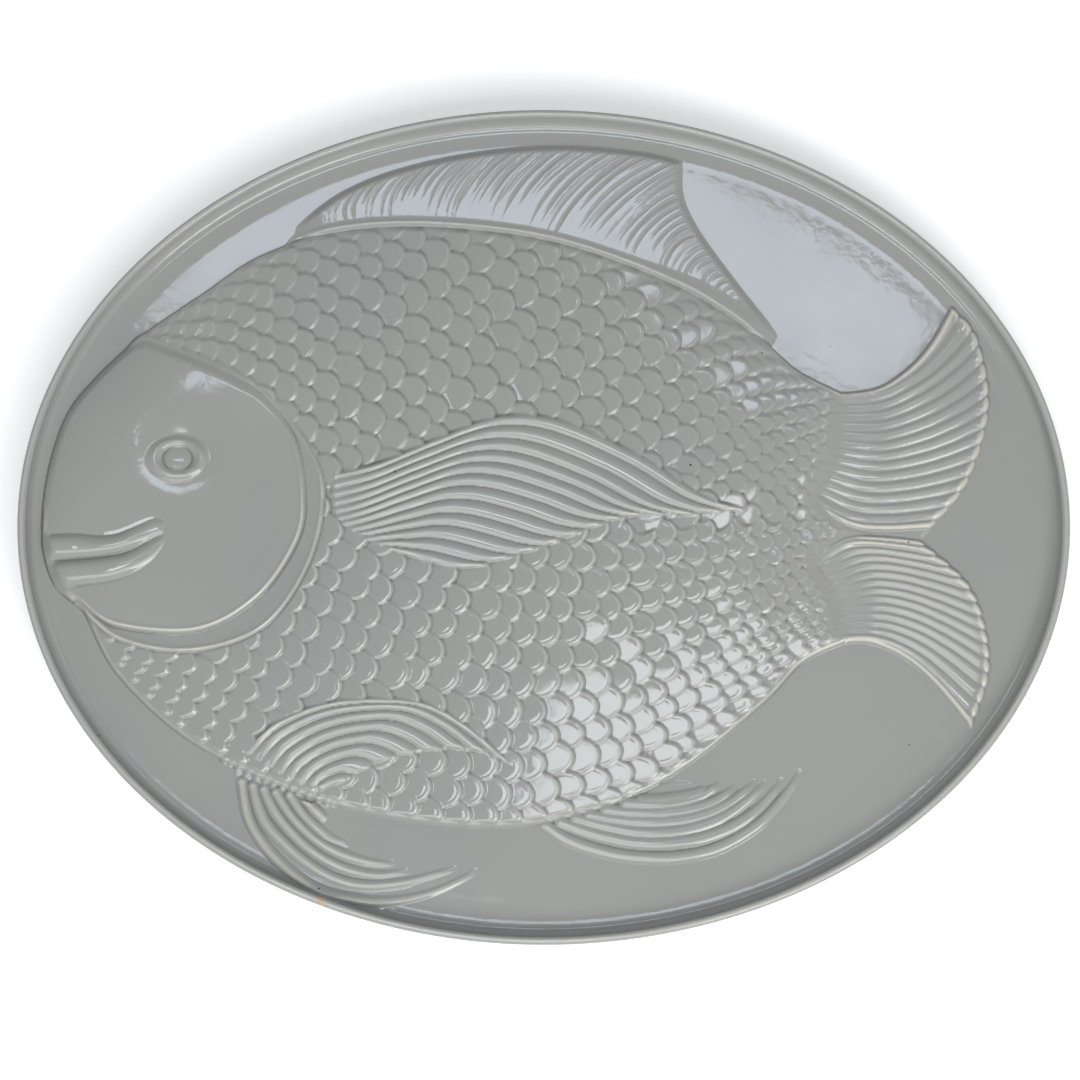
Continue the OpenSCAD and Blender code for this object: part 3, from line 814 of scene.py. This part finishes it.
def new_object(name, points, faces, normals, thin_and_shade):
    """Mesh object from places in mm, with a glaze thinness and painted shade each, and lists of faces, the first
    of them smooth.
    """
    mesh = bpy.data.meshes.new(name)
    flat = np.concatenate([f.ravel() for f in faces])
    corner_normals = np.zeros((len(flat), 3))
    corner_normals[:faces[0].size] = normals[faces[0].ravel()]
    sizes = np.concatenate([np.full(len(f), f.shape[1]) for f in faces])
    mesh.vertices.add(len(points))
    mesh.vertices.foreach_set("co", (points * MM).ravel())
    mesh.loops.add(len(flat))
    mesh.loops.foreach_set("vertex_index", flat)
    mesh.polygons.add(len(sizes))
    mesh.polygons.foreach_set("loop_start", np.concatenate([[0], np.cumsum(sizes)[:-1]]))
    mesh.update(calc_edges=True)
    mesh.polygons.foreach_set("use_smooth", np.arange(len(sizes)) < len(faces[0]))
    mesh.normals_split_custom_set(corner_normals)
    attribute = mesh.attributes.new("thin_and_shade", "FLOAT", "POINT")
    attribute.data.foreach_set("value", np.asarray(thin_and_shade, np.float32))
    mesh.validate()
    return in_scene(name, mesh)


def relief_piece(name, number, label):
    """Closed piece of the relief over its cells, with a wall down to a flat base."""
    mask = label == number
    j, i = np.nonzero(mask)
    columns = len(XS)
    quads = (j * columns + i)[:, None] + [0, 1, columns + 1, columns]
    padded = np.pad(mask, 1)
    open_sides = (~padded[:-2, 1:-1], ~padded[1:-1, 2:], ~padded[2:, 1:-1], ~padded[1:-1, :-2])
    edges = np.concatenate([quads[side[mask]][:, [k, (k + 1) % 4]] for k, side in enumerate(open_sides)])
    nodes, inverse = np.unique(quads, return_inverse=True)
    quads = inverse.reshape(quads.shape)
    rim_nodes = np.unique(edges)
    top_of = np.searchsorted(nodes, edges)
    low_of = len(nodes) + np.searchsorted(rim_nodes, edges)
    walls = np.column_stack([top_of[:, 0], low_of, top_of[:, 1]])

    places = np.stack([GX, GY, SURFACE], -1).reshape(-1, 3)
    top, low = places[nodes], places[rim_nodes]
    low[:, 2] = FLOOR_Z - SUNK
    flat_points = [Vector((p[0], p[1])) for p in low]
    pairs = [tuple(int(n) for n in e) for e in np.searchsorted(rim_nodes, edges)]
    out_points, _, out_faces, origin, _, _ = delaunay_2d_cdt(flat_points, pairs, [], 1, 1e-6)
    base = []
    for f in out_faces:
        middle = sum((out_points[v] for v in f), Vector((0, 0))) / 3
        cell = (int((middle.y - YS[0]) / CELL), int((middle.x - XS[0]) / CELL))
        if mask[cell]:
            base.append([len(nodes) + origin[v][0] for v in reversed(f)])
    thin_and_shade = np.concatenate([GLAZE_THIN_AND_SHADE.ravel()[nodes], np.full(len(rim_nodes), PLAIN)])
    normals = NORMALS.reshape(-1, 3)[nodes]
    obj = new_object(name, np.concatenate([top, low]), (quads, walls, np.array(base)), normals, thin_and_shade)
    add_bake_map(obj)
    return obj


def read_all(items, key, width=1, kind=float):
    """One property of all a mesh's points, corners or faces."""
    values = np.zeros(len(items) * width, kind)
    items.foreach_get(key, values)
    return values.reshape(-1, width) if width > 1 else values


def add_bake_map(obj):
    """Map of the piece from above for its top, with its underside beside it."""
    mesh = obj.data
    co = read_all(mesh.vertices, "co", 3)
    corners = read_all(mesh.loops, "vertex_index", kind=int)
    up = read_all(mesh.polygons, "normal", 3)[:, 2] > 0.02
    upward = np.repeat(up, read_all(mesh.polygons, "loop_total", kind=int))
    low, span = co.min(0), np.ptp(co, axis=0)
    scale = 0.97 / max(span[0], 1.27 * span[1])
    flat = (co[corners, :2] - low[:2]) * scale + 0.01
    under = (co[corners, :2] - low[:2]) * scale * 0.22 + 0.01
    under[:, 1] += span[1] * scale + 0.015
    layer = mesh.uv_layers.new(name="OFBake")
    layer.data.foreach_set("uv", np.where(upward[:, None], flat, under).ravel())


def oval(inset, angles):
    """Places on the platter's oval, drawn in by an inset square to its edge."""
    circle = np.stack([np.cos(angles), np.sin(angles)], -1)
    return PLATTER_HALF * circle - inset * unit(circle / PLATTER_HALF)


def dish_surface():
    """Rings of the dish from the middle of its floor over the lip to the middle of its underside."""
    angles = np.linspace(0, 2 * math.pi, DISH_SIDES, endpoint=False)
    lip_z = LIP_TOP - LIP_T / 2
    rings, thin_and_shade = [], []

    def add(places, z, glaze=PLAIN):
        rings.append(np.column_stack([places, np.broadcast_to(z, len(angles))]))
        thin_and_shade.append(glaze)

    floor_edge = oval(RIM_RUN, angles)
    for share in np.concatenate([np.linspace(0.04, 0.6, 10), np.linspace(0.62, 0.995, 34)]):
        add(floor_edge * share, floor_height(*(floor_edge * share).T))
    foot_of_wall = len(rings)
    # Up the wall the glaze is a little thinner towards the lip and so lighter: partly a thinner glaze, partly
    # painted light against the wall's shade
    for a in np.linspace(0, math.pi / 2, 24):
        z = FLOOR_Z + COVE_H + (lip_z - FLOOR_Z - COVE_H) * (1 - math.cos(a)) ** WALL_CURVE
        add(oval(RIM_RUN - (RIM_RUN - LIP_T) * math.sin(a), angles), z, PLAIN + 0.12 * math.sin(a) ** 2)
    for a in np.linspace(0, math.pi, 17)[1:]:
        z = lip_z + LIP_T / 2 * math.sin(a)
        add(oval(LIP_T / 2 * (1 + math.cos(a)), angles), z, 0.58 + 0.22 * math.sin(a) ** 6)
    meet_a = math.acos(1 - RIM_RUN / FLARE_RUN)
    outer = np.linspace(0, meet_a, 22)[1:]
    under_meet = len(rings) + len(outer) - 1
    for a in np.concatenate([outer, np.linspace(meet_a, math.pi / 2, 10)[1:]]):
        add(oval(FLARE_RUN * (1 - math.cos(a)), angles), UNDER_Z + (lip_z - UNDER_Z) * (1 - math.sin(a)))
    last = oval(FLARE_RUN, angles)
    for share in np.concatenate([np.linspace(0.97, 0.6, 14), np.linspace(0.5, 0.04, 6)]):
        add(last * share, UNDER_Z)
    return np.array(rings), np.array(thin_and_shade), foot_of_wall, under_meet


def ring_normals(rings):
    """Normals of a stack of rings that starts and ends at the middle."""
    around = np.roll(rings, -1, 1) - np.roll(rings, 1, 1)
    return unit(np.cross(np.gradient(rings, axis=0), around))


def strips(ring_rows, count):
    """Quads between neighbouring rings of a list of ring numbers."""
    k = np.arange(count)
    nxt = (k + 1) % count
    return np.concatenate([
        np.stack([a * count + k, b * count + k, b * count + nxt, a * count + nxt], 1)
        for a, b in zip(ring_rows[:-1], ring_rows[1:])
    ])


def dish_pieces():
    """The floor slab and the rim, which meet in an upright joint under the foot of the wall."""
    rings, thin_and_shade, foot_of_wall, under_meet = dish_surface()
    normals = ring_normals(rings)
    count = rings.shape[1]

    rows = np.arange(foot_of_wall, under_meet + 1)
    points = rings[rows].reshape(-1, 3)
    skin = strips(np.arange(len(rows)), count)
    joint = strips([len(rows) - 1, 0], count)
    thin_points = np.repeat(thin_and_shade[rows], count)
    rim = new_object("rim_wall", points, (skin, joint), normals[rows].reshape(-1, 3), thin_points)

    top_rows, low_rows = np.arange(0, foot_of_wall + 1), np.arange(under_meet, len(rings))
    rows = np.concatenate([top_rows, low_rows])
    points = np.concatenate([rings[rows].reshape(-1, 3), [[0, 0, rings[0, 0, 2]], [0, 0, UNDER_Z]]])
    n_top = len(top_rows)
    skin = np.concatenate([strips(np.arange(n_top), count), strips(np.arange(n_top, len(rows)), count)])
    joint = strips([n_top - 1, n_top], count)
    k = np.arange(count)
    nxt = (k + 1) % count
    end = len(rows) * count
    last = (len(rows) - 1) * count
    fans = np.concatenate([
        np.stack([np.full(count, end), k, nxt], 1),
        np.stack([np.full(count, end + 1), last + nxt, last + k], 1),
    ])
    thin_points = np.concatenate([np.repeat(thin_and_shade[rows], count), [PLAIN, PLAIN]])
    floor = new_object("well_floor", points, (skin, joint, fans), normals[rows].reshape(-1, 3), thin_points)
    add_bake_map(floor)
    return floor, rim


def foot_piece():
    """The foot ring, with its lower edges rounded over."""
    angles = np.linspace(0, 2 * math.pi, FOOT_SIDES, endpoint=False)
    outer = PLATTER_HALF[0] - FOOT_HALF[0]
    inner = outer + FOOT_W
    soft = 1.6
    # Out from a side of the foot, and down from the dish, where the side flares into it
    flare = [(0.9, -SUNK), (0.9, 0.0), (0.3, 0.5), (0.0, 1.2)]
    quarter = np.linspace(0, math.pi / 2, 7)
    section = [(outer - out, UNDER_Z - down) for out, down in flare]
    section += [(outer + soft * (1 - math.cos(a)), soft * (1 - math.sin(a))) for a in quarter]
    section += [(inner - soft * (1 - math.sin(a)), soft * (1 - math.cos(a))) for a in quarter]
    section += [(inner + out, UNDER_Z - down) for out, down in reversed(flare)]
    rings = np.array([np.column_stack([oval(i, angles), np.full(len(angles), z)]) for i, z in section])
    points = rings.reshape(-1, 3)
    skin = strips(list(range(len(rings))) + [0], len(angles))
    return new_object("foot", points, (skin,), np.zeros(points.shape), np.full(len(points), PLAIN))


def new_material(name):
    """Material with its node tree and its shader."""
    material = bpy.data.materials.new(name)
    material.use_nodes = True
    return material, material.node_tree, material.node_tree.nodes["Principled BSDF"]


def feed(tree, node, inputs):
    """Give a node's inputs constants, or link them to other sockets."""
    for key, value in inputs.items():
        if hasattr(value, "is_linked"):
            tree.links.new(value, node.inputs[key])
        else:
            node.inputs[key].default_value = value


def new_node(tree, kind, output, inputs, **settings):
    """Output of a new node with its inputs fed and its settings made."""
    node = tree.nodes.new("ShaderNode" + kind)
    for key, value in settings.items():
        setattr(node, key, value)
    feed(tree, node, inputs)
    return node.outputs[output]


def mix_colour(tree, factor, a, b):
    """Colour between two, of which the first may be a socket."""
    a = a if hasattr(a, "is_linked") else (*a, 1)
    return new_node(tree, "Mix", "Result", {"Factor": factor, "A": a, "B": (*b, 1)}, data_type="RGBA")


def range_of(tree, value, low, high, to_low=0.0, to_high=1.0):
    """Smooth step of a value from one range to another."""
    ends = {"From Min": low, "From Max": high, "To Min": to_low, "To Max": to_high}
    return new_node(tree, "MapRange", "Result", {**ends, "Value": value}, interpolation_type="SMOOTHSTEP")


def noise(tree, coords, scale, detail=3.0, rough=0.5):
    """Cloudy noise, of so many features in a metre."""
    inputs = {"Scale": scale, "Detail": detail, "Roughness": rough, "Vector": coords}
    return new_node(tree, "TexNoise", "Fac", inputs)


def add_bump(tree, shader, height, strength, size):
    """Small unevenness of a surface, of a size in metres."""
    bump = new_node(tree, "Bump", "Normal", {"Strength": strength, "Distance": size, "Height": height})
    feed(tree, shader, {"Normal": bump})


GLAZE = (0.345, 0.353, 0.343)
GLAZE_WARM = (0.362, 0.363, 0.345)
# Pooled glaze in hollows and creases, made darker than real pooling as painted shade
POOLED_GLAZE_AND_SHADE = (0.20, 0.206, 0.198)
GLAZE_EDGE = (0.58, 0.56, 0.50)
GLAZE_IOR = 1.52
SPECK = (0.035, 0.03, 0.025)
SPECKS_PER_M = 34.0
CLAY = (0.47, 0.36, 0.25)
CLAY_DARK = (0.33, 0.24, 0.16)
PAPER = (0.93, 0.93, 0.93, 1)
# Where the lip shows bare clay, in metres, and the outer and inner reach of that spot's ragged edge
CHIP = (-0.0885, -0.1515, 0.0185)
CHIP_EDGE = (0.0043, 0.0037)


def glaze_material():
    """Glossy grey white glaze: pooled in hollows and darkened there further as painted shade, thin and cream on
    edges, with a few dark specks.
    """
    material, tree, shader = new_material("glaze")
    coords = new_node(tree, "TexCoord", "Object", {})
    thin_and_shade = new_node(tree, "Attribute", "Fac", {}, attribute_name="thin_and_shade")
    cloud = range_of(tree, noise(tree, coords, 14.0, 4.0), 0.35, 0.7)
    colour = mix_colour(tree, cloud, GLAZE, GLAZE_WARM)
    # Pooled glaze and painted shade in hollows and creases
    colour = mix_colour(tree, range_of(tree, thin_and_shade, 0.45, 0.15), colour, POOLED_GLAZE_AND_SHADE)
    colour = mix_colour(tree, range_of(tree, thin_and_shade, 0.6, 1.0), colour, GLAZE_EDGE)

    spots = {"Scale": SPECKS_PER_M, "Vector": coords}
    away = new_node(tree, "TexVoronoi", "Distance", spots, voronoi_dimensions="2D")
    size = new_node(tree, "SeparateColor", "Red", {"Color": away.node.outputs["Color"]})
    reach = range_of(tree, size, 0.86, 1.0, 0.0, 0.014)
    dot = new_node(tree, "Math", "Value", {0: away, 1: reach}, operation="LESS_THAN")
    colour = mix_colour(tree, dot, colour, SPECK)

    far = new_node(tree, "VectorMath", "Value", {0: coords, 1: CHIP}, operation="DISTANCE")
    rough_edge = {0: noise(tree, coords, 500.0, 2.0), 1: 0.003, 2: far}
    ragged = new_node(tree, "Math", "Value", rough_edge, operation="MULTIPLY_ADD")
    colour = mix_colour(tree, range_of(tree, ragged, *CHIP_EDGE), colour, CLAY)

    rough = range_of(tree, noise(tree, coords, 60.0, 3.0), 0.3, 0.75, 0.04, 0.075)
    feed(tree, shader, {"Base Color": colour, "Roughness": rough, "IOR": GLAZE_IOR})
    add_bump(tree, shader, noise(tree, coords, 260.0, 3.0, 0.45), 0.08, 0.00025)
    return material


def clay_material():
    """Bare fired clay: matte, buff, with grain and rubbed darker patches."""
    material, tree, shader = new_material("bare_clay")
    coords = new_node(tree, "TexCoord", "Object", {})
    grain = noise(tree, coords, 900.0, 5.0, 0.65)
    patches = noise(tree, coords, 35.0, 4.0)
    colour = mix_colour(tree, range_of(tree, patches, 0.35, 0.7), CLAY, CLAY_DARK)
    colour = mix_colour(tree, range_of(tree, grain, 0.6, 0.8, 0.0, 0.5), colour, CLAY_DARK)
    rough = range_of(tree, grain, 0.3, 0.8, 0.78, 0.95)
    feed(tree, shader, {"Base Color": colour, "Roughness": rough})
    add_bump(tree, shader, grain, 0.5, 0.0002)
    return material


def stage_material():
    """Plain white paper under the platter, a little brighter to the camera so that it reads as white."""
    material, tree, shader = new_material("pale_floor")
    seen = new_node(tree, "LightPath", "Is Camera Ray", {})
    glow = new_node(tree, "Math", "Value", {0: seen, 1: 0.3}, operation="MULTIPLY")
    feed(tree, shader, {"Base Color": PAPER, "Roughness": 0.9, "Specular IOR Level": 0.0,
                        "Emission Color": (1, 1, 1, 1), "Emission Strength": glow})
    return material


def dress(piece, material, slot, *nodes):
    """Give a piece its material, hang it on the root and hide the CAD nodes that it is shown for."""
    piece.data.materials.append(material)
    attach(piece, "root")
    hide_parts(*nodes)


def build():
    """All the pieces of the platter."""
    glaze, clay = glaze_material(), clay_material()
    label = keep_whole(label_cells())
    for i, name in enumerate(PIECES):
        dress(relief_piece(name + "_relief", i + 1, label), glaze, "glaze", name)
    floor, rim = dish_pieces()
    dress(floor, glaze, "glaze", "floor_slab")
    dress(rim, glaze, "glaze", "rim")
    dress(foot_piece(), clay, "bare_clay", "foot_ring")


# The camera looks down, tilted from the upright
TILT = math.radians(7.3)
CAMERA_DISTANCE = 1.5
# Middle and half width of the platter's outline in the photograph, which is 1080 pixels square
OUTLINE_MID_PX = (543.7, 521.6)
OUTLINE_HALF_PX = 526.3
PHOTO_SIDE = 1080


def add_camera():
    """Camera at the photograph's viewing angle, with the platter at the same place in the picture."""
    data = bpy.data.cameras.new("camera")
    camera = in_scene("camera", data)
    per_px = PLATTER_HALF[0] * MM / OUTLINE_HALF_PX
    data.sensor_width = 36.0
    data.lens = data.sensor_width * CAMERA_DISTANCE / (per_px * PHOTO_SIDE)
    data.clip_end = 30
    camera.rotation_euler = (TILT, 0, 0)
    middle = PHOTO_SIDE / 2
    right, up = (middle - OUTLINE_MID_PX[0]) * per_px, (OUTLINE_MID_PX[1] - middle) * per_px
    offset = Vector((right, up, CAMERA_DISTANCE))
    target = Vector((0, 0, (LIP_TOP - LIP_T / 2) * MM))
    camera.location = target + Matrix.Rotation(TILT, 3, "X") @ offset
    bpy.context.scene.camera = camera


SKY = (0.73, 0.83, 1.0)
WORLD = (0.96, 0.98, 1.0, 1)
# Each lamp's middle in metres, lean and turn in degrees, size in metres, brightness and colour
LAMPS = {
    "sky_right": ((0.478, 1.752, 8.0), 0.0, -30.0, (1.15, 0.40), 6.2, SKY),
    "sky_left": ((-0.45, 1.835, 8.0), 0.0, 0.0, (1.14, 0.49), 6.2, SKY),
    "sky_head": ((-1.22, 1.93, 8.0), 0.0, 12.0, (0.22, 0.40), 6.2, SKY),
    "window": ((-0.67, -0.88, 8.0), 0.0, 0.0, (1.95, 1.64), 7.6, (0.90, 0.95, 1.0)),
    "key": ((0.1, -1.15, 1.65), 35.0, 5.0, (2.0, 1.0), 3.3, (1.0, 0.995, 0.98)),
    "glint": ((0.8, -1.3, 1.3), 50.0, 31.6, (0.8, 0.6), 6.5, (1.0, 0.99, 0.97)),
}
STAGE_HALF = 4.0
# The stage lies this far below the foot
STAGE_GAP = 0.0002


def add_panel(name, middle, lean, turn, size, radiance, colour):
    """Soft rectangular light of a given brightness, facing down, leant up from there and turned about Z."""
    data = bpy.data.lights.new(name, "AREA")
    data.shape = "RECTANGLE"
    data.size, data.size_y = size
    data.energy = radiance * math.pi * size[0] * size[1]
    data.color = colour
    light = in_scene(name, data)
    light.location = middle
    light.rotation_euler = (math.radians(lean), 0, math.radians(turn))


def add_stage():
    """Pale floor, soft surroundings that are brighter at the horizon, and the lamps."""
    mesh = bpy.data.meshes.new("floor")
    corners = [(x * STAGE_HALF, y * STAGE_HALF, 0) for x, y in ((-1, -1), (1, -1), (1, 1), (-1, 1))]
    mesh.from_pydata(corners, [], [(0, 1, 2, 3)])
    mesh.materials.append(stage_material())
    floor = in_scene("floor", mesh)
    floor.location.z = -STAGE_GAP
    world = bpy.data.worlds.new("world")
    world.use_nodes = True
    tree = world.node_tree
    way = new_node(tree, "TexCoord", "Generated", {})
    height = new_node(tree, "SeparateXYZ", "Z", {"Vector": way})
    glow = range_of(tree, height, 0.0, 0.9, 0.75, 0.2)
    feed(tree, tree.nodes["Background"], {"Color": WORLD, "Strength": glow})
    bpy.context.scene.world = world
    for name, lamp in LAMPS.items():
        add_panel(name, *lamp)
    bpy.context.scene.view_settings.view_transform = "Standard"


build()
add_camera()
add_stage()
